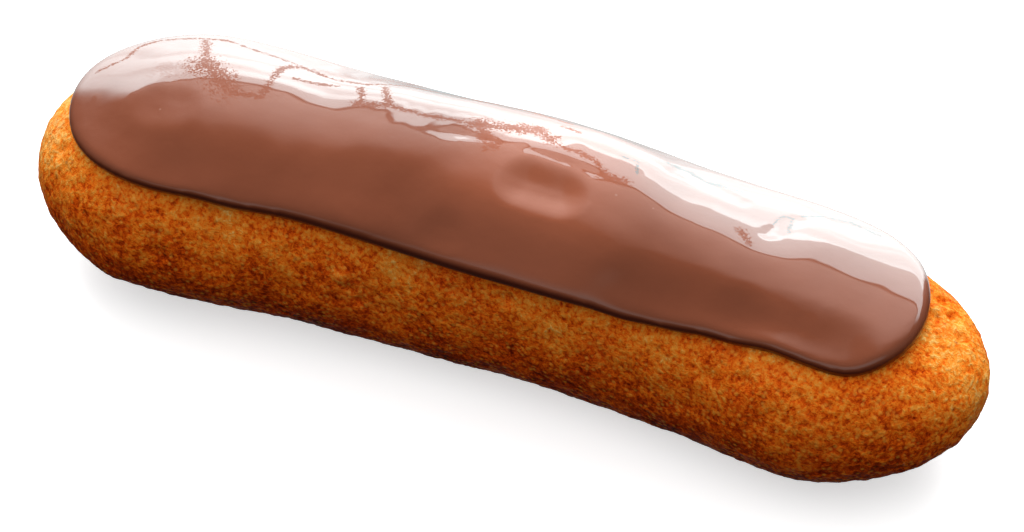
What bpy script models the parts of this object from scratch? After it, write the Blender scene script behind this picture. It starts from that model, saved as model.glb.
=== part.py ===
"""A chocolate eclair: a long bun of choux pastry, baked brown, with a thick layer of chocolate icing on its top.

The eclair lies along X and rests on Z = 0, with its box's bottom centre at the origin. The bun is a sphere drawn
out into a long body with a flat base. The icing is a shell over everything that stood below the icing's level
when the bun was dipped upside down, so its edge runs nearly level round the bun.
"""

import math

import bmesh
import bpy
import numpy as np
from mathutils import Matrix

# Driving dimensions, in metres.
LENGTH = 0.140
HALF_WIDTH = 0.0177
BUN_HEIGHT = 0.0279
END_LENGTH = 0.0295  # how much of each end rounds off
SIDEWAYS_BEND = 0.0025  # how far the tips turn towards -Y
BELLY_SHARES = (0.46, 0.52)  # height of the widest level at the -X and the +X tip, as a share of the bun's height
BASE_CUT = 0.0012  # how much of the round underside the flat base takes away
ICING_LEVEL = 0.0223  # height of the icing's edge
ICING_THICKNESS = 0.0016
ICING_CLEARANCE = 0.0003  # between the bun and the icing

# Squareness of a section's upper and lower half, and of the ends: 2 is an ellipse, and more is boxier.
UPPER_SQUARENESS = 2.15
LOWER_SQUARENESS = 2.4
END_SQUARENESS = 2.05

# Where the dough swelled most: (place along X, reach, amount).
WIDTH_SWELLS = (
    (-0.056, 0.016, 0.0032),
    (0.010, 0.030, -0.0014),
    (0.054, 0.016, 0.0022),
)
HEIGHT_SWELLS = (
    (0.003, 0.019, 0.0034),
    (0.054, 0.016, -0.0016),
)

# Where the icing's edge runs above or below its level, on each side: (place along X, reach, amount).
FRONT_EDGE_WAVES = (
    (-0.058, 0.014, -0.0003),
    (-0.034, 0.005, -0.0006),
    (0.018, 0.010, -0.0003),
    (0.042, 0.008, 0.0015),
    (0.056, 0.005, -0.0006),
)
BACK_EDGE_WAVES = (
    (-0.041, 0.0090, 0.0008),
    (-0.012, 0.0060, -0.0009),
    (0.024, 0.0100, 0.0007),
    (0.047, 0.0070, -0.0006),
    (0.064, 0.0060, 0.0024),
)

# The icing's edge is rounded over LIP_WIDTH. It stands ROLL_HEIGHT thicker than the rest, fading over ROLL_REACH.
LIP_WIDTH = 0.0020
ROLL_HEIGHT = 0.0009
ROLL_REACH = 0.0038

# Facets.
BUN_SEGMENTS_ROUND = 44
BUN_SEGMENTS_LONG = 48
ICING_SEGMENTS = 72
ICING_RINGS = 16
LIP_RINGS = 4
RING_CROWDING = 1.35  # above 1, the icing's rings are closer together towards the middle
SIDE_DENSITY = 0.5  # how close together the icing's spokes are on the sides, next to the tips
LINE_SAMPLES = 400  # points that a line on the bun is measured with
HALVINGS = 40  # steps in the search for the icing's edge

# Looks: base colour and roughness.
CRUST_COLOUR, CRUST_ROUGHNESS = (0.48, 0.16, 0.025), 0.6
ICING_COLOUR, ICING_ROUGHNESS = (0.16, 0.045, 0.022), 0.2


def swell(x, swells):
    """The sum of smooth bumps at x."""
    return sum(
        amount * np.exp(-(((x - place) / reach) ** 2)) for place, reach, amount in swells
    )


def superellipse(share, squareness):
    """Height of a superellipse's quarter arc, 1 at the start and 0 at a share of 1."""
    return (1 - np.clip(share, 0, 1) ** squareness) ** (1 / squareness)


def end_share(x):
    """Size of the bun's section at x: 1 along the middle, and down to 0 at each tip in a round arc."""
    return superellipse((np.abs(x) - (LENGTH / 2 - END_LENGTH)) / END_LENGTH, END_SQUARENESS)


def centre_line(x):
    return -SIDEWAYS_BEND * (2 * x / LENGTH) ** 2


def half_width(x):
    return (HALF_WIDTH + swell(x, WIDTH_SWELLS)) * end_share(x)


def belly_height(x):
    share = np.interp(x, (-LENGTH / 2, LENGTH / 2), BELLY_SHARES)
    return share * (BUN_HEIGHT + swell(x, HEIGHT_SWELLS))


def rise(x):
    """Height of the bun's top above its belly."""
    return (BUN_HEIGHT + swell(x, HEIGHT_SWELLS) - belly_height(x)) * end_share(x)


def bun_point(x, angle):
    """The point of the bun's skin at x, at an angle round its section counted from +Y towards +Z."""
    across, up = math.cos(angle), math.sin(angle)
    power = 2 / (UPPER_SQUARENESS if up > 0 else LOWER_SQUARENESS)
    reach_up = rise(x) if up > 0 else -(belly_height(x) + BASE_CUT) * end_share(x)
    y = centre_line(x) + math.copysign(abs(across) ** power, across) * half_width(x)
    return x, y, belly_height(x) + abs(up) ** power * reach_up


def top_height(x, y):
    """Height of the bun's upper skin above the point x, y."""
    share = np.abs(y - centre_line(x)) / np.maximum(half_width(x), 1e-9)
    return belly_height(x) + rise(x) * superellipse(share, UPPER_SQUARENESS)


def top_normal(x, y, step=1e-5):
    """Outward unit normals of the bun's upper skin above the points x, y."""
    along = (top_height(x + step, y) - top_height(x - step, y)) / (2 * step)
    across = (top_height(x, y + step) - top_height(x, y - step)) / (2 * step)
    normal = np.stack([-along, -across, np.ones_like(along)], axis=-1)
    return normal / np.linalg.norm(normal, axis=-1, keepdims=True)


def edge_level(x, y):
    """Height of the icing's edge, which changes smoothly from the front's waves to the back's round each end."""
    back_share = np.clip(0.5 + 0.5 * (y - centre_line(x)) / HALF_WIDTH, 0, 1)
    front, back = swell(x, FRONT_EDGE_WAVES), swell(x, BACK_EDGE_WAVES)
    return ICING_LEVEL + (1 - back_share) * front + back_share * back


def distances_along(points):
    """How far along a line of points each one lies."""
    steps = np.linalg.norm(np.diff(points, axis=0), axis=1)
    return np.concatenate([[0.0], np.cumsum(steps)])


def bun_outline(count):
    """Points round the bun's outline from above, from the +X tip towards +Y, as x and distance off the centre line.

    They are closer together round the tips than along the sides.
    """
    turn = np.linspace(0, 2 * math.pi, 4 * LINE_SAMPLES)
    x = LENGTH / 2 * np.cos(turn)
    line = np.stack([x, np.sign(np.sin(turn)) * half_width(x)], axis=-1)
    travelled = distances_along(line * (SIDE_DENSITY, 1))
    stops = np.arange(count) / count * travelled[-1]
    return np.stack([np.interp(stops, travelled, line[:, k]) for k in range(2)], axis=-1)


def on_spoke(outline_point, share):
    """Where a spoke is at a share of its way out from the middle of the top, in x and y.

    A spoke runs along the middle of the bun first, and then turns out across it to a point of the outline.
    """
    x = outline_point[..., 0] * np.sqrt(share)
    return x, centre_line(x) + outline_point[..., 1] * share


def edge_shares(outline):
    """How far out along each spoke the icing's edge is."""
    covered, bare = np.zeros(len(outline)), np.ones(len(outline))
    for _ in range(HALVINGS):
        middle = (covered + bare) / 2
        here = on_spoke(outline, middle)
        inside = top_height(*here) > edge_level(*here)
        covered, bare = np.where(inside, middle, covered), np.where(inside, bare, middle)
    return covered


def icing_thickness(from_edge):
    roundness = np.sqrt(1 - (1 - np.clip(from_edge / LIP_WIDTH, 0, 1)) ** 2)
    return roundness * (ICING_THICKNESS + ROLL_HEIGHT * np.exp(-((from_edge / ROLL_REACH) ** 2)))


def icing_spoke(outline_point, edge_share):
    """The icing's inner and outer points along one spoke, from its edge in to the middle of the top."""
    shares = edge_share * np.linspace(1, 0, LINE_SAMPLES) ** 2
    line = np.stack(on_spoke(outline_point, shares))
    travelled = distances_along(np.vstack([line, top_height(*line)]).T)
    lip = LIP_WIDTH * (1 - np.cos(np.linspace(0, math.pi / 2, LIP_RINGS + 1)))
    lip_shares = np.interp(lip, travelled, shares)
    rest = lip_shares[-1] * np.linspace(1, 0, ICING_RINGS - LIP_RINGS + 1) ** RING_CROWDING
    ring_shares = np.concatenate([lip_shares, rest[1:]])
    x, y = on_spoke(outline_point, ring_shares)
    skin = np.stack([x, y, top_height(x, y)], axis=-1)
    normals = top_normal(x, y)
    inner = skin + normals * ICING_CLEARANCE
    from_edge = np.interp(-ring_shares, -shares, travelled)
    return inner, inner + normals * icing_thickness(from_edge)[:, None]


def new_material(name, colour, roughness):
    material = bpy.data.materials.new(name)
    material.use_nodes = True
    shader = material.node_tree.nodes["Principled BSDF"]
    shader.inputs["Base Color"].default_value = (*colour, 1)
    shader.inputs["Roughness"].default_value = roughness
    return material


def new_object(name, bm, material):
    bmesh.ops.recalc_face_normals(bm, faces=bm.faces)
    for face in bm.faces:
        face.smooth = True
    mesh = bpy.data.meshes.new(name)
    bm.to_mesh(mesh)
    bm.free()
    mesh.materials.append(material)
    made = bpy.data.objects.new(name, mesh)
    bpy.context.scene.collection.objects.link(made)
    return made


def make_bun():
    """The choux bun: a sphere, its poles at the tips, with each vertex moved to the bun's skin and the base cut."""
    bm = bmesh.new()
    bmesh.ops.create_uvsphere(
        bm, u_segments=BUN_SEGMENTS_ROUND, v_segments=BUN_SEGMENTS_LONG, radius=1
    )
    for vertex in bm.verts:
        across, up, along = vertex.co
        vertex.co = bun_point(LENGTH / 2 * along, math.atan2(up, across))
    everything = bm.verts[:] + bm.edges[:] + bm.faces[:]
    bmesh.ops.bisect_plane(
        bm, geom=everything, plane_co=(0, 0, 0), plane_no=(0, 0, 1), clear_inner=True
    )
    rim = [edge for edge in bm.edges if edge.is_boundary]
    for edge in rim:
        edge.smooth = False
    bmesh.ops.contextual_create(bm, geom=rim)
    crust = new_material("choux_crust", CRUST_COLOUR, CRUST_ROUGHNESS)
    return new_object("choux_bun", bm, crust)


def make_icing():
    """The icing: a sphere pressed flat over the bun, its equator at the icing's edge and its poles in the middle."""
    bm = bmesh.new()
    bmesh.ops.create_uvsphere(
        bm, u_segments=ICING_SEGMENTS, v_segments=2 * ICING_RINGS, radius=1
    )
    outline = bun_outline(ICING_SEGMENTS)
    spokes = [icing_spoke(*spoke) for spoke in zip(outline, edge_shares(outline))]
    for vertex in bm.verts:
        round_share = math.atan2(vertex.co.y, vertex.co.x) / (2 * math.pi)
        spoke = spokes[round(round_share * ICING_SEGMENTS) % ICING_SEGMENTS]
        above_equator = math.asin(max(-1.0, min(1.0, vertex.co.z))) / (math.pi / 2)
        ring = round(abs(above_equator) * ICING_RINGS)
        vertex.co = spoke[1 if above_equator > 0 else 0][ring]
    chocolate = new_material("chocolate", ICING_COLOUR, ICING_ROUGHNESS)
    return new_object("chocolate_icing", bm, chocolate)


def stand_at_origin(objects):
    """Moves the objects' meshes together, so that the bottom centre of their box is at the origin."""
    corners = np.array([vertex.co for made in objects for vertex in made.data.vertices])
    low, high = corners.min(axis=0), corners.max(axis=0)
    to_origin = Matrix.Translation((-(low[0] + high[0]) / 2, -(low[1] + high[1]) / 2, -low[2]))
    for made in objects:
        made.data.transform(to_origin)


def main():
    for existing in list(bpy.data.objects):
        bpy.data.objects.remove(existing)
    stand_at_origin([make_bun(), make_icing()])


if __name__ == "__main__":
    main()
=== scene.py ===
import math

import bpy
import numpy as np
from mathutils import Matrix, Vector


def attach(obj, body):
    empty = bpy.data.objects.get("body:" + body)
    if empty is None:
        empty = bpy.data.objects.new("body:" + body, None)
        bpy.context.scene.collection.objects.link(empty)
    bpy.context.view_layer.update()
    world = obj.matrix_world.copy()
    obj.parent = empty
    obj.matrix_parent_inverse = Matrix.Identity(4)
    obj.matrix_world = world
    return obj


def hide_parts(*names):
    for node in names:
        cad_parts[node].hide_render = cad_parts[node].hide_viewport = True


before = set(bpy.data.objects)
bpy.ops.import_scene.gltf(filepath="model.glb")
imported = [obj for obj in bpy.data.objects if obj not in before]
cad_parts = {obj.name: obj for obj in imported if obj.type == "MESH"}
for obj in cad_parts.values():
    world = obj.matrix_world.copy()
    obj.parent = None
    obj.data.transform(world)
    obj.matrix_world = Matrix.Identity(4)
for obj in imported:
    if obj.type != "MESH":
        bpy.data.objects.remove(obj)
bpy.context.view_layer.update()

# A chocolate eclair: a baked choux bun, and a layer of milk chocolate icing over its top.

MM = 0.001

# ---------------------------------------------------------------- helpers for modelling

MERGE_GAP = 0.02 * MM
PAIR_ANGLE = math.radians(60)
PRESS_WIDTH = 0.5 * MM
PRESSED_ABOVE = 20 * MM
PRESSED_TILT = 0.2


def only(piece):
    """Makes this piece the only one that operators act on."""
    if bpy.context.object and bpy.context.object.mode != "OBJECT":
        bpy.ops.object.mode_set(mode="OBJECT")
    bpy.ops.object.select_all(action="DESELECT")
    piece.select_set(True)
    bpy.context.view_layer.objects.active = piece


def copy_of(node, name):
    """A piece that starts as a CAD node's shape, its triangles merged and paired into four-sided faces."""
    piece = bpy.data.objects.new(name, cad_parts[node].data.copy())
    bpy.context.scene.collection.objects.link(piece)
    piece.data.materials.clear()
    only(piece)
    bpy.ops.object.mode_set(mode="EDIT")
    bpy.ops.mesh.select_all(action="SELECT")
    bpy.ops.mesh.remove_doubles(threshold=MERGE_GAP)
    bpy.ops.mesh.tris_convert_to_quads(face_threshold=PAIR_ANGLE, shape_threshold=PAIR_ANGLE)
    bpy.ops.object.mode_set(mode="OBJECT")
    return piece


def finish_with(piece, kind, **settings):
    """Adds a modifier with these settings and applies it."""
    modifier = piece.modifiers.new(kind.title(), kind)
    for name, value in settings.items():
        setattr(modifier, name, value)
    only(piece)
    bpy.ops.object.modifier_apply(modifier=modifier.name)


def raise_by(piece, name, kind, size, height, middle, **settings):
    """Moves the surface in and out by a texture of this size. Sizes and heights in mm."""
    texture = bpy.data.textures.new(name, kind)
    texture.noise_scale = size * MM
    for key, value in settings.items():
        setattr(texture, key, value)
    finish_with(
        piece,
        "DISPLACE",
        texture=texture,
        texture_coords="LOCAL",
        strength=height * MM,
        mid_level=middle,
    )


def pick(piece, chosen):
    """Goes into edit mode with only these points of the piece selected."""
    only(piece)
    mesh = piece.data
    mesh.polygons.foreach_set("select", np.zeros(len(mesh.polygons), dtype=bool))
    mesh.edges.foreach_set("select", np.zeros(len(mesh.edges), dtype=bool))
    mesh.vertices.foreach_set("select", np.array(chosen, dtype=bool))
    bpy.ops.object.mode_set(mode="EDIT")
    bpy.ops.mesh.select_mode(type="VERT")


def drag(piece, chosen, offset, reach):
    """Moves the chosen points by an offset, and what is around them less and less, out to a reach in mm."""
    pick(piece, chosen)
    bpy.ops.transform.translate(
        value=offset,
        use_proportional_edit=True,
        proportional_edit_falloff="SMOOTH",
        proportional_size=reach * MM,
    )
    bpy.ops.object.mode_set(mode="OBJECT")


def press(piece, start, end, reach, depth):
    """Presses the upper surface down along a line seen from above, fading out over a reach. All in mm."""
    start, end = Vector(start) * MM, Vector(end) * MM
    along = end - start
    chosen = []
    for vertex in piece.data.vertices:
        place = vertex.co.xy - start
        share = min(1.0, max(0.0, place.dot(along) / along.length_squared))
        near = (place - along * share).length < PRESS_WIDTH
        upper = vertex.normal.z > PRESSED_TILT and vertex.co.z > PRESSED_ABOVE
        chosen.append(near and upper)
    drag(piece, chosen, (0, 0, -depth * MM), reach)


# ---------------------------------------------------------------- helpers for materials


def add(tree, kind, inputs=None, **settings):
    """A new node. Each input is a value, or another node's output to link to it."""
    node = tree.nodes.new(kind)
    for name, value in settings.items():
        setattr(node, name, value)
    for key, value in (inputs or {}).items():
        if isinstance(value, bpy.types.NodeSocket):
            tree.links.new(value, node.inputs[key])
        else:
            node.inputs[key].default_value = value
    return node


def math_node(tree, operation, *values, clamp=False):
    inputs = dict(enumerate(values))
    return add(tree, "ShaderNodeMath", inputs, operation=operation, use_clamp=clamp).outputs[0]


def spread(tree, value, low, high, to_low=0.0, to_high=1.0):
    """The value brought from one range to another, smoothly and without going past its ends."""
    inputs = {"Value": value, "From Min": low, "From Max": high, "To Min": to_low, "To Max": to_high}
    return add(tree, "ShaderNodeMapRange", inputs, interpolation_type="SMOOTHSTEP").outputs[0]


def spread_evenly(tree, value, low, high):
    inputs = {"Value": value, "From Min": low, "From Max": high}
    return add(tree, "ShaderNodeMapRange", inputs).outputs[0]


def product(tree, first, *others):
    for other in others:
        first = math_node(tree, "MULTIPLY", first, other)
    return first


def mix_value(tree, share, first, second):
    inputs = {0: share, 2: first, 3: second}
    return add(tree, "ShaderNodeMix", inputs, data_type="FLOAT").outputs[0]


def blend(tree, share, first, second, how="MIX"):
    inputs = {0: share, 6: first, 7: second}
    return add(tree, "ShaderNodeMix", inputs, data_type="RGBA", blend_type=how).outputs[2]


def noise_node(tree, place, size, detail, roughness=0.5, distortion=0.0):
    inputs = {
        "Vector": place,
        "Scale": 1 / size,
        "Detail": detail,
        "Roughness": roughness,
        "Distortion": distortion,
    }
    return add(tree, "ShaderNodeTexNoise", inputs).outputs["Fac"]


def ramp(tree, value, stops):
    """A colour ramp through (place, colour) stops."""
    node = add(tree, "ShaderNodeValToRGB", {0: value})
    elements = node.color_ramp.elements
    while len(elements) < len(stops):
        elements.new(0.5)
    for element, (place, colour) in zip(elements, stops):
        element.position = place
        element.color = (*colour, 1)
    return node.outputs[0]


def new_material(name):
    material = bpy.data.materials.new(name)
    material.use_nodes = True
    tree = material.node_tree
    place = add(tree, "ShaderNodeTexCoord").outputs["Object"]
    return material, tree, tree.nodes["Principled BSDF"], place


def specks_group():
    """Scattered round specks: a mask that is 1 on each speck and 0 between them."""
    tree = bpy.data.node_groups.new("specks", "ShaderNodeTree")
    face = tree.interface
    face.new_socket("Place", in_out="INPUT", socket_type="NodeSocketVector")
    face.new_socket("Scale", in_out="INPUT", socket_type="NodeSocketFloat")
    face.new_socket("Share", in_out="INPUT", socket_type="NodeSocketFloat")
    face.new_socket("Radius", in_out="INPUT", socket_type="NodeSocketFloat")
    face.new_socket("Mask", in_out="OUTPUT", socket_type="NodeSocketFloat")
    given = tree.nodes.new("NodeGroupInput").outputs
    inputs = {"Vector": given["Place"], "Scale": given["Scale"]}
    cells = add(tree, "ShaderNodeTexVoronoi", inputs)
    red = add(tree, "ShaderNodeSeparateColor", {0: cells.outputs["Color"]}).outputs[0]
    chosen = math_node(tree, "LESS_THAN", red, given["Share"])
    near = math_node(tree, "DIVIDE", cells.outputs["Distance"], given["Radius"])
    round_ = math_node(tree, "SUBTRACT", 1.0, near, clamp=True)
    mask = math_node(tree, "MULTIPLY", round_, chosen)
    out = tree.nodes.new("NodeGroupOutput")
    tree.links.new(mask, out.inputs["Mask"])
    return tree


SPECKS = specks_group()


def specks(tree, place, size, share, radius):
    inputs = {"Place": place, "Scale": 1 / size, "Share": share, "Radius": radius}
    return add(tree, "ShaderNodeGroup", inputs, node_tree=SPECKS).outputs["Mask"]


# ---------------------------------------------------------------- the bun


BASE_LEVEL = 0.0
CHOUX_VOXEL, CHOUX_SMOOTHING = 0.45 * MM, 8

# Bumps of the dough: (name, kind, size, height, middle level, settings), in mm, from large to small.
DOUGH_BUMPS = (
    ("lumps", "CLOUDS", 16, 1.1, 0.5, {"noise_depth": 1}),
    ("folds", "CLOUDS", 5, 0.5, 0.5, {"noise_depth": 1}),
    ("pebbles", "VORONOI", 1.5, -0.20, 0.4, {}),
    ("grain", "CLOUDS", 0.9, 0.16, 0.5, {"noise_depth": 1}),
)

# Pits and blisters of the crust: (place, reach, depth) in mm. A blister has a depth below 0.
CRUST_PITS = (
    ((39.5, -14.1, 22.6), 2.2, 0.9),
    ((41.5, -15.6, 19.5), 1.6, 0.6),
    ((37.0, -15.8, 18.5), 2.0, 0.5),
    ((6.3, -14.5, 20.0), 1.8, 0.7),
    ((-1.5, -15.0, 19.0), 1.3, 0.4),
    ((-16.3, -15.8, 14.7), 1.3, 0.5),
    ((-15.0, -16.2, 12.8), 1.3, 0.5),
    ((-18.0, -15.6, 16.4), 1.4, -0.5),
    ((-44.0, -17.0, 14.0), 2.4, 0.5),
    ((61.0, 7.5, 21.9), 1.6, 0.6),
    ((63.0, 5.0, 20.5), 1.6, 0.7),
    ((65.0, 2.5, 19.0), 1.5, 0.5),
    ((60.5, 4.0, 22.0), 1.5, -0.4),
    ((-62.8, -10.6, 19.7), 1.5, 0.4),
)


def pit(piece, place, reach, depth):
    """Pushes the surface in around its point nearest to a place, fading out over a reach."""
    places = np.empty(len(piece.data.vertices) * 3, dtype=np.float32)
    piece.data.vertices.foreach_get("co", places)
    away = np.linalg.norm(places.reshape(-1, 3) / MM - place, axis=1)
    nearest = int(away.argmin())
    inward = -piece.data.vertices[nearest].normal
    drag(piece, np.arange(len(away)) == nearest, inward * depth * MM, reach)


def flatten_base(piece):
    """Brings whatever the bumps pushed below the tray back up to it."""
    pick(piece, [vertex.co.z < BASE_LEVEL for vertex in piece.data.vertices])
    bpy.ops.transform.resize(value=(1, 1, 0), center_override=(0, 0, BASE_LEVEL))
    bpy.ops.object.mode_set(mode="OBJECT")


def make_choux():
    choux = copy_of("choux_bun", "choux")
    finish_with(choux, "SUBSURF", levels=2, render_levels=2)
    finish_with(choux, "REMESH", mode="VOXEL", voxel_size=CHOUX_VOXEL, use_smooth_shade=True)
    finish_with(choux, "SMOOTH", factor=0.5, iterations=CHOUX_SMOOTHING)
    for name, kind, size, height, middle, settings in DOUGH_BUMPS:
        raise_by(choux, name, kind, size, height, middle, **settings)
    for place, reach, depth in CRUST_PITS:
        pit(choux, place, reach, depth)
    flatten_base(choux)
    only(choux)
    bpy.ops.object.shade_smooth()
    return choux


# Colours of the crust, from burnt to hardly baked.
CRUST_COLOURS = (
    (0.00, (0.10, 0.005, 0.0003)),
    (0.25, (0.42, 0.034, 0.0010)),
    (0.45, (0.78, 0.098, 0.003)),
    (0.60, (0.95, 0.190, 0.009)),
    (0.80, (0.98, 0.310, 0.030)),
    (1.00, (0.98, 0.520, 0.130)),
)
CRUST_TONE = 0.55
# Painted shade towards the tray and painted light on the top of the crust, as changes of tone.
TRAY_PAINTED_SHADE, TOP_PAINTED_LIGHT = -0.30, 0.08
# Painted light on the two ends of the crust, and the share of it kept on the far side.
LEFT_END_PAINTED_LIGHT, RIGHT_END_PAINTED_LIGHT = 0.30, 0.22
FAR_SIDE_PAINTED_LIGHT_SHARE = 0.15
PATCH_SHARE, MOTTLE_SHARE, PEBBLE_SHARE = 0.6, 0.7, 1.45
REDDISH = (0.85, 0.62, 0.8, 1)
BURNT = (0.38, 0.040, 0.002, 1)
BLISTER = (1.0, 0.40, 0.05, 1)
CRUST_SHINE = 0.03
CRUST_ROUGH, CRUST_SMOOTH = 0.66, 0.46
CRUST_RELIEF = 0.50 * MM


def painted_light_on_ends(tree, axis):
    """Painted light: how much paler the crust is painted on its ends. The left end is painted pale down to
    its front.
    """
    beyond = spread(tree, math_node(tree, "ABSOLUTE", axis["X"]), 50 * MM, 69 * MM)
    right_half = spread(tree, axis["X"], -10 * MM, 10 * MM)
    front = mix_value(tree, right_half, -16 * MM, -10 * MM)
    risen = spread(tree, math_node(tree, "SUBTRACT", axis["Y"], front), 0.0, 10 * MM)
    far_side = spread(tree, axis["Y"], 0.0, 11 * MM, 1.0, FAR_SIDE_PAINTED_LIGHT_SHARE)
    amount = mix_value(tree, right_half, LEFT_END_PAINTED_LIGHT, RIGHT_END_PAINTED_LIGHT)
    return product(tree, beyond, math_node(tree, "MULTIPLY", risen, far_side), amount)


def crust_material():
    """Golden brown, with painted shade making it browner towards the tray and painted light making its top
    and ends paler, with specks.
    """
    material, tree, shader, place = new_material("choux_crust")
    patches = noise_node(tree, place, 8 * MM, detail=3, roughness=0.55)
    mottle = noise_node(tree, place, 2.2 * MM, detail=4, roughness=0.65)
    pebbles = noise_node(tree, place, 0.75 * MM, detail=3, roughness=0.7, distortion=0.3)
    axis = add(tree, "ShaderNodeSeparateXYZ", {0: place}).outputs
    # Painted shade: the crust is darker towards the tray and lighter on top, by height.
    risen = spread(tree, axis["Z"], 2 * MM, 22 * MM, TRAY_PAINTED_SHADE, TOP_PAINTED_LIGHT)
    # Painted light on the ends is added to the tone.
    tone = math_node(tree, "ADD", risen, painted_light_on_ends(tree, axis))
    for part, share in ((patches, PATCH_SHARE), (mottle, MOTTLE_SHARE), (pebbles, PEBBLE_SHARE)):
        centred = math_node(tree, "SUBTRACT", part, 0.5)
        tone = math_node(tree, "MULTIPLY_ADD", centred, share, tone)
    tone = math_node(tree, "ADD", tone, CRUST_TONE)
    colour = ramp(tree, tone, CRUST_COLOURS)
    red = spread(tree, noise_node(tree, place, 11 * MM, detail=2), 0.5, 0.72, 0.0, 0.5)
    colour = blend(tree, red, colour, REDDISH, "MULTIPLY")
    burnt = math_node(tree, "MULTIPLY", specks(tree, place, 1.3 * MM, 0.3, 0.35), 0.8)
    colour = blend(tree, burnt, colour, BURNT)
    blisters = math_node(tree, "MULTIPLY", specks(tree, place, 0.8 * MM, 0.5, 0.50), 0.8)
    colour = blend(tree, blisters, colour, BLISTER)
    tree.links.new(colour, shader.inputs["Base Color"])
    rough = spread(tree, mottle, 0.3, 0.7, CRUST_ROUGH, CRUST_SMOOTH)
    tree.links.new(rough, shader.inputs["Roughness"])
    shader.inputs["Specular IOR Level"].default_value = CRUST_SHINE
    height = math_node(tree, "MULTIPLY_ADD", pebbles, 0.7, mottle)
    inputs = {"Height": height, "Strength": 1.0, "Distance": CRUST_RELIEF}
    bump = add(tree, "ShaderNodeBump", inputs)
    tree.links.new(bump.outputs[0], shader.inputs["Normal"])
    return material


# ---------------------------------------------------------------- the icing


ICING_VOXEL, ICING_SMOOTHING = 0.42 * MM, 12

# Slow unevenness of the icing: (name, kind, size, height, middle level), in mm.
ICING_WAVES = (
    ("waves", "CLOUDS", 14, 0.3, 0.5),
    ("ripples", "CLOUDS", 4, 0.05, 0.5),
)

# Dents, folds and swells of the icing: (from, to, reach, depth) in mm, seen from above. A swell has a
# depth below 0.
ICING_PRESSES = (
    ((5.0, -4.2), (9.4, -4.2), 4.9, 0.82),
    ((-50.5, -5.6), (-47.5, -5.2), 4.0, 0.32),
    ((-38.0, -10.5), (-35.0, -10.0), 5.0, 0.20),
    ((-26.0, -10.0), (-23.0, -10.0), 5.0, 0.15),
    ((-18.0, -9.2), (-10.5, -9.2), 6.0, 0.45),
    ((-4.5, -13.0), (-3.0, -13.0), 3.0, 0.22),
    ((-23.0, 9.0), (-10.0, 9.0), 8.0, -0.45),
    ((-18.0, 9.5), (-5.0, 7.5), 6.0, -0.15),
    ((9.0, 10.0), (15.0, 10.0), 6.0, -0.35),
    ((26.0, 6.0), (36.0, 6.0), 9.0, 0.50),
    ((37.0, 3.0), (39.0, 8.0), 1.6, 0.10),
    ((21.0, 9.5), (31.0, 8.0), 1.6, 0.10),
    ((24.0, -13.6), (38.0, -13.2), 7.0, 0.70),
    ((-6.0, -9.0), (18.0, -9.5), 6.0, -0.35),
    ((40.0, -13.0), (53.0, -12.4), 7.0, 0.80),
    ((-60.0, -10.0), (-46.0, -14.0), 8.0, 0.60),
)

# Where the icing set dull: (half width, points along a stroke) in mm, seen from above.
DULL_STROKES = (
    (0.22, (-62.3, 0.0), (-59.5, 3.7), (-59.2, 7.5), (-57.3, 9.9), (-53.2, 11.7),
     (-48.6, 13.0), (-43.3, 11.7)),
    (0.26, (-43.3, 11.7), (-39.2, 11.0), (-34.8, 10.0), (-30.6, 8.8), (-25.2, 9.0), (-20.5, 12.0)),
    (0.22, (-20.5, 12.0), (-13.0, 12.2), (-8.6, 11.1), (-4.4, 13.0), (0.5, 12.2), (4.7, 11.3)),
    (0.28, (4.1, 9.2), (7.0, 8.8)),
    (0.55, (-51.0, 11.6), (-48.3, 6.2)),
    (1.70, (-48.0, 4.5), (-42.2, 0.2)),
    (0.50, (-41.3, -0.5), (-36.8, 0.4)),
    (0.50, (-37.0, 1.3), (-37.4, 4.7), (-37.5, 8.0), (-36.4, 9.6), (-33.8, 9.9)),
    (0.25, (-34.8, 6.2), (-32.4, 6.3), (-28.2, 7.0)),
    (0.45, (-25.3, 7.4), (-23.5, 4.2)),
    (0.45, (-22.4, 8.9), (-20.1, 5.4)),
    (0.60, (-24.1, 3.5), (-20.2, 4.8)),
    (0.35, (-20.2, 4.8), (-17.0, 4.4), (-12.9, 4.0), (-6.6, 3.9)),
    (1.00, (-6.6, 3.9), (-2.4, 4.7), (1.9, 6.4)),
    (0.90, (-4.7, 2.6), (-2.2, 0.0)),
    (0.85, (1.9, 6.4), (4.9, 4.4)),
    (0.40, (6.2, 3.9), (9.0, 4.1), (11.7, 3.3), (13.5, 2.0)),
    (0.65, (13.4, 1.5), (16.6, 1.6)),
    (0.50, (33.6, 1.5), (35.5, -0.3)),
)

# Faint marks, where the icing is only a little less glossy and is painted grey as dark lines of the
# reflection.
FAINT_STROKES = (
    (0.18, (14.1, 6.7), (16.4, 6.8), (17.3, 4.1)),
    (0.30, (19.0, 10.4), (22.4, 10.7), (25.2, 9.7), (30.6, 10.9)),
    (0.18, (36.6, 5.3), (37.0, 8.0), (38.3, 8.5), (39.2, 4.7)),
    (0.25, (39.2, 9.7), (41.2, 11.3), (45.0, 12.8), (49.7, 12.0)),
)

# Broad patches where the gloss is a little hazy.
HAZY_STROKES = (
    (1.40, (-52.5, 1.6), (-48.4, 2.1)),
    (0.90, (-32.2, 10.4), (-27.1, 11.2), (-19.7, 14.9)),
    (0.45, (-11.7, 11.3), (-7.0, 12.2)),
)


FAR_FROM_STROKES = 9.0


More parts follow.
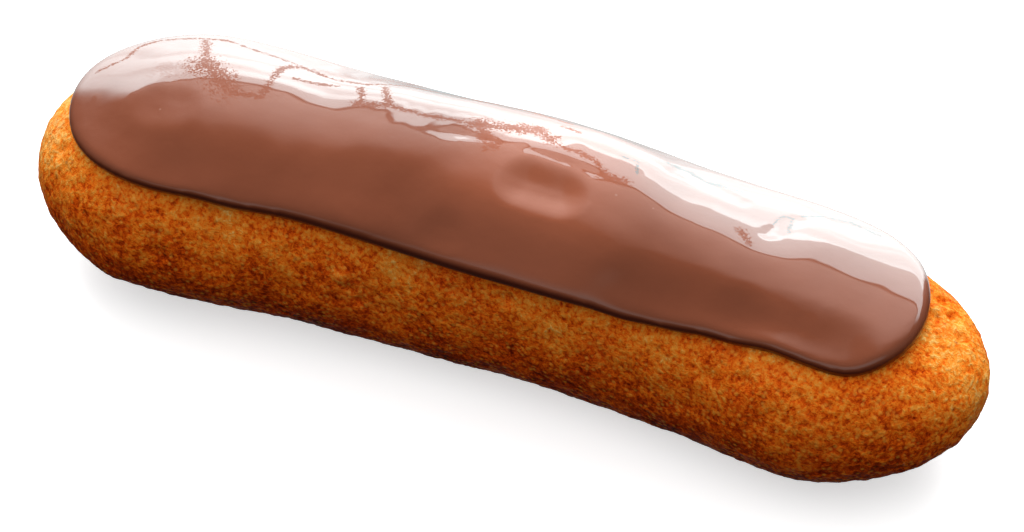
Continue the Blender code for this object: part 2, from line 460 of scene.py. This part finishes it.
def mark(piece, name, strokes):
    """Stores how far each point is from the nearest stroke: 0 on it, 1 at its edge and more beyond."""
    places = np.empty(len(piece.data.vertices) * 3, dtype=np.float32)
    piece.data.vertices.foreach_get("co", places)
    places = places.reshape(-1, 3)[:, :2] / MM
    far = np.full(len(places), FAR_FROM_STROKES)
    for width, *points in strokes:
        for start, end in zip(points, points[1:]):
            along = np.subtract(end, start)
            share = np.clip((places - start) @ along / (along @ along), 0, 1)
            distance = np.linalg.norm(places - start - share[:, None] * along, axis=1)
            far = np.minimum(far, distance / width)
    piece.data.attributes.new(name, "FLOAT", "POINT").data.foreach_set("value", far)


def make_icing():
    icing = copy_of("chocolate_icing", "icing")
    finish_with(icing, "SUBSURF", levels=1, render_levels=1)
    finish_with(icing, "REMESH", mode="VOXEL", voxel_size=ICING_VOXEL, use_smooth_shade=True)
    finish_with(icing, "SMOOTH", factor=0.5, iterations=ICING_SMOOTHING)
    for wave in ICING_WAVES:
        raise_by(icing, *wave, noise_depth=0)
    for start, end, reach, depth in ICING_PRESSES:
        press(icing, start, end, reach, depth)
    mark(icing, "dull", DULL_STROKES)
    mark(icing, "faint", FAINT_STROKES)
    mark(icing, "hazy", HAZY_STROKES)
    only(icing)
    bpy.ops.object.shade_smooth()
    return icing


CHOCOLATE = (
    (0.3, (0.205, 0.051, 0.020)),
    (0.7, (0.230, 0.060, 0.025)),
)
# Painted light: a paler chocolate on the hump of the icing.
HUMP_PAINTED_LIGHT = (0.300, 0.080, 0.035, 1)
# Painted shade: the dark chocolate where the icing turns under at its rim.
RIM_PAINTED_SHADE = (0.085, 0.010, 0.002, 1)
DOT = (0.35, 0.17, 0.12, 1)
# Painted reflection: the grey of dark lines in the reflected window, put in the faint marks.
PAINTED_REFLECTION_LINE = (0.13, 0.085, 0.07, 1)
# Where along the eclair the painted light on the hump is centred.
HUMP_LIGHT_MIDDLE = 6 * MM
CHOCOLATE_SHINE = 0.12
CHOCOLATE_RELIEF = 0.12 * MM
COAT_ROUGHNESS = 0.025
GRAIN_SHARE, WANDER_SHARE = 5.0, 2.4
OUTSIDE, INSIDE = 5.0, 4.3

# How much gloss each kind of mark takes away. The last kind is also tinted grey, as painted dark lines of
# the reflection.
GLOSS_LOSSES = (("dull", 0.94), ("hazy", 0.30), ("faint", 0.35))


def chocolate_material():
    """Milk chocolate under a glossy coat: painted light makes it paler on the hump, painted shade darker
    where it rolls under, and it is dull at marks, with painted grey reflection lines in the faint ones.
    """
    material, tree, shader, place = new_material("chocolate")
    slow = noise_node(tree, place, 12 * MM, detail=3)
    colour = ramp(tree, slow, CHOCOLATE)
    along = add(tree, "ShaderNodeSeparateXYZ", {0: place}).outputs["X"]
    aside = math_node(tree, "ABSOLUTE", math_node(tree, "SUBTRACT", along, HUMP_LIGHT_MIDDLE))
    # Painted light: the chocolate is paler on the hump.
    colour = blend(tree, spread(tree, aside, 18 * MM, 4 * MM), colour, HUMP_PAINTED_LIGHT)
    facing = add(tree, "ShaderNodeNewGeometry").outputs["Normal"]
    upward = add(tree, "ShaderNodeSeparateXYZ", {0: facing}).outputs["Z"]
    # Painted shade: darker where the icing turns under at its rim, by how far its surface faces down.
    colour = blend(tree, spread(tree, upward, 0.5, -0.1), colour, RIM_PAINTED_SHADE)
    colour = blend(tree, specks(tree, place, 5 * MM, 0.5, 0.05), colour, DOT)
    tree.links.new(spread(tree, slow, 0.3, 0.7, 0.40, 0.46), shader.inputs["Roughness"])
    shader.inputs["Specular IOR Level"].default_value = CHOCOLATE_SHINE
    grain = noise_node(tree, place, 0.3 * MM, detail=1)
    wander = noise_node(tree, place, 1.6 * MM, detail=2)
    ragged = math_node(tree, "MULTIPLY", wander, WANDER_SHARE)
    ragged = math_node(tree, "MULTIPLY_ADD", grain, GRAIN_SHARE, ragged)
    gloss = 1.0
    for name, loss in GLOSS_LOSSES:
        far = add(tree, "ShaderNodeAttribute", attribute_name=name).outputs["Fac"]
        far = math_node(tree, "ADD", far, ragged)
        near = spread(tree, far, OUTSIDE, INSIDE)
        gloss = math_node(tree, "MULTIPLY_ADD", near, -loss, gloss, clamp=True)
    # Painted reflection: grey in the faint marks stands for dark lines in the reflected window.
    colour = blend(tree, near, colour, PAINTED_REFLECTION_LINE)
    tree.links.new(colour, shader.inputs["Base Color"])
    tree.links.new(gloss, shader.inputs["Coat Weight"])
    relief = noise_node(tree, place, 2.5 * MM, detail=3)
    inputs = {"Height": relief, "Strength": 0.5, "Distance": CHOCOLATE_RELIEF}
    bump = add(tree, "ShaderNodeBump", inputs)
    tree.links.new(bump.outputs[0], shader.inputs["Normal"])
    shader.inputs["Coat Roughness"].default_value = COAT_ROUGHNESS
    return material


choux = make_choux()
choux.data.materials.append(crust_material())
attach(choux, "root")
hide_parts("choux_bun")

icing = make_icing()
icing.data.materials.append(chocolate_material())
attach(icing, "root")
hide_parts("chocolate_icing")

# ---------------------------------------------------------------- floor, light and camera

bpy.ops.object.select_all(action="DESELECT")
FLOOR_SIZE, FLOOR_GLOW = 6, 0.55
bpy.ops.mesh.primitive_plane_add(size=FLOOR_SIZE, location=(0, 0, 0))
floor = bpy.context.object
floor.name = "floor"
pale = bpy.data.materials.new("pale_floor")
pale.use_nodes = True
tree = pale.node_tree
seen = add(tree, "ShaderNodeLightPath").outputs["Is Camera Ray"]
shader = tree.nodes["Principled BSDF"]
shader.inputs["Base Color"].default_value = (0.9, 0.9, 0.9, 1)
shader.inputs["Roughness"].default_value = 0.9
shader.inputs["Specular IOR Level"].default_value = 0.0
shader.inputs["Emission Color"].default_value = (1, 1, 1, 1)
tree.links.new(math_node(tree, "MULTIPLY", seen, FLOOR_GLOW), shader.inputs["Emission Strength"])
floor.data.materials.append(pale)
floor.visible_glossy = False
floor.visible_diffuse = False
floor.visible_shadow = False

# The light on dull surfaces comes from a pale studio, brighter above and behind.
STUDIO_LOW, STUDIO_HIGH = 0.05, 1.30
STUDIO_BEHIND, STUDIO_ALL_ROUND = 0.35, 0.8

# What the gloss mirrors: a dim room, with a bright window behind, a paler pane over it, a soft glow above
# that, and a rim light in front. Heights are sines of the angle above the horizon.
WINDOW_AZIMUTH = 204
BACK = (math.sin(math.radians(WINDOW_AZIMUTH)), -math.cos(math.radians(WINDOW_AZIMUTH)), 0.0)
ROOM_SHINE = (0.03, 0.12)
WINDOW_SHINE, PANE_SHINE, GLOW_SHINE, RIM_SHINE = 11.2, 5.0, 1.9, 0.7
WINDOW_TOP, PANE_TOP, PANE_TOP_LEFT = 0.469, 0.669, 0.545
WINDOW_SOFTNESS, PANE_SOFTNESS = 0.005, 0.006
WINDOW_SLANT, SLANT_FROM = 0.6, 0.55

# How bright the window is by height: 0 stands for LIGHTS_REACH below the horizon, 1 for as much above it.
LIGHTS_REACH = 0.7
WINDOW_LIGHTS = (
    (0.04, (0.055,) * 3),
    (0.14, (0.075,) * 3),
    (0.26, (0.13,) * 3),
    (0.50, (0.43,) * 3),
    (0.67, (0.72,) * 3),
    (0.84, (1.0,) * 3),
)
STREAKS = (2.5, 2.5, 10.0)
STREAK_DIM, STREAK_BRIGHT = 0.80, 1.08
LEFT_DIM = 0.45
COOL, WARM, WHITE = (0.80, 0.97, 1.0, 1), (1.0, 0.97, 0.93, 1), (1, 1, 1, 1)


def window_shine(tree, direction, height, turned, behind):
    """The window: dimmer low down, streaked, cut off at its sides and dimmer towards the left."""
    shine = ramp(tree, spread_evenly(tree, height, -LIGHTS_REACH, LIGHTS_REACH), WINDOW_LIGHTS)
    inputs = {0: direction, 1: STREAKS}
    stretched = add(tree, "ShaderNodeVectorMath", inputs, operation="MULTIPLY").outputs[0]
    streaks = noise_node(tree, stretched, 1.0, detail=1.5)
    streaks = spread(tree, streaks, 0.32, 0.62, STREAK_DIM, STREAK_BRIGHT)
    sides = product(tree, spread(tree, turned, -0.92, -0.80), spread(tree, turned, 0.22, 0.10))
    sides = product(tree, sides, spread(tree, behind, 0.0, 0.1))
    sides = product(tree, sides, spread(tree, turned, -0.9, -0.2, LEFT_DIM, 1.0))
    return product(tree, shine, WINDOW_SHINE, streaks, sides)


def make_world():
    world = bpy.data.worlds.new("studio")
    world.use_nodes = True
    tree = world.node_tree
    direction = add(tree, "ShaderNodeTexCoord").outputs["Generated"]
    axis = add(tree, "ShaderNodeSeparateXYZ", {0: direction}).outputs
    side, height = axis["X"], axis["Z"]
    inputs = {0: direction, 1: BACK}
    behind = add(tree, "ShaderNodeVectorMath", inputs, operation="DOT_PRODUCT").outputs["Value"]
    flat = math_node(tree, "SUBTRACT", 1.0, math_node(tree, "MULTIPLY", height, height))
    turned = math_node(tree, "DIVIDE", side, math_node(tree, "SQRT", flat))

    studio = spread(tree, height, -0.1, 0.6, STUDIO_LOW, STUDIO_HIGH)
    fuller = math_node(tree, "MULTIPLY_ADD", behind, STUDIO_BEHIND, STUDIO_ALL_ROUND)
    studio = math_node(tree, "MULTIPLY", studio, fuller)

    room = spread(tree, height, -0.05, 0.05, *ROOM_SHINE)
    left = math_node(tree, "MINIMUM", math_node(tree, "ADD", side, SLANT_FROM), 0.0)
    level = math_node(tree, "MULTIPLY_ADD", left, WINDOW_SLANT, height)
    in_window = spread(tree, level, WINDOW_TOP + WINDOW_SOFTNESS, WINDOW_TOP - WINDOW_SOFTNESS)
    window_light = window_shine(tree, direction, height, turned, behind)

    top = spread(tree, side, -0.33, -0.27, PANE_TOP_LEFT, PANE_TOP)
    over = math_node(tree, "SUBTRACT", height, top)
    pane_light = spread(tree, over, PANE_SOFTNESS, -PANE_SOFTNESS, 0.0, PANE_SHINE)
    pane_light = math_node(tree, "MULTIPLY", pane_light, spread(tree, behind, 0.3, 0.5))
    glow = spread(tree, behind, -0.1, 0.75, 0.0, GLOW_SHINE)
    glow = product(tree, glow, spread(tree, over, 0.012, 0.024), spread(tree, turned, -1.0, -0.45))
    above = math_node(tree, "ADD", pane_light, glow)
    back_light = mix_value(tree, in_window, above, window_light)
    front_light = spread(tree, behind, -0.5, -0.8, 0.0, RIM_SHINE)
    front_light = math_node(tree, "MULTIPLY", front_light, spread(tree, height, 0.1, 0.3))
    shine = math_node(tree, "ADD", room, math_node(tree, "ADD", back_light, front_light))

    ray = add(tree, "ShaderNodeLightPath").outputs
    strength = mix_value(tree, ray["Is Glossy Ray"], studio, shine)
    strength = mix_value(tree, ray["Is Camera Ray"], strength, 1.0)
    cool = math_node(tree, "MULTIPLY", spread(tree, over, 0.012, 0.0), ray["Is Glossy Ray"])
    warm = blend(tree, ray["Is Glossy Ray"], WHITE, WARM)
    background = tree.nodes["Background"].inputs
    tree.links.new(strength, background["Strength"])
    tree.links.new(blend(tree, cool, warm, COOL), background["Color"])
    bpy.context.scene.world = world


make_world()


def towards(turn, lift):
    """The direction that is this far round from the front and this far up."""
    return Vector((math.sin(turn) * math.cos(lift), -math.cos(turn) * math.cos(lift), math.sin(lift)))


def window(name, azimuth, elevation, distance, width, height, strength):
    """A soft light facing the eclair, seen only in what it lights."""
    light = bpy.data.lights.new(name, "AREA")
    light.shape = "RECTANGLE"
    light.size, light.size_y = width, height
    light.energy = strength * width * height * math.pi
    made = bpy.data.objects.new(name, light)
    out = towards(math.radians(azimuth), math.radians(elevation))
    made.location = out * distance
    made.rotation_euler = (-out).to_track_quat("-Z", "Y").to_euler()
    made.visible_camera = False
    made.visible_glossy = False
    bpy.context.scene.collection.objects.link(made)


window("back_window", WINDOW_AZIMUTH, 12.5, distance=1.2, width=2.0, height=0.9, strength=0.8)
window("top_softbox", WINDOW_AZIMUTH, 40, distance=1.2, width=1.5, height=0.8, strength=4.6)

CAMERA_AZIMUTH, CAMERA_ELEVATION, CAMERA_DISTANCE = 24.0, 41.0, 0.9
CAMERA_LENS = 231.6
AIM = (0, 1.16 * MM, 17 * MM)
AIM_RIGHT, AIM_DOWN = 0.2, 4.2
turn, lift = math.radians(CAMERA_AZIMUTH), math.radians(CAMERA_ELEVATION)
back = towards(turn, lift)
right = Vector((math.cos(turn), math.sin(turn), 0))
up = back.cross(right)
aim = Vector(AIM) + right * AIM_RIGHT * MM - up * AIM_DOWN * MM
camera = bpy.data.objects.new("camera", bpy.data.cameras.new("camera"))
camera.data.lens = CAMERA_LENS
camera.location = aim + back * CAMERA_DISTANCE
camera.rotation_euler = (-back).to_track_quat("-Z", "Y").to_euler()
camera.data.clip_start, camera.data.clip_end = 0.01, 20
bpy.context.scene.collection.objects.link(camera)
bpy.context.scene.camera = camera
bpy.context.scene.view_settings.view_transform = "Standard"
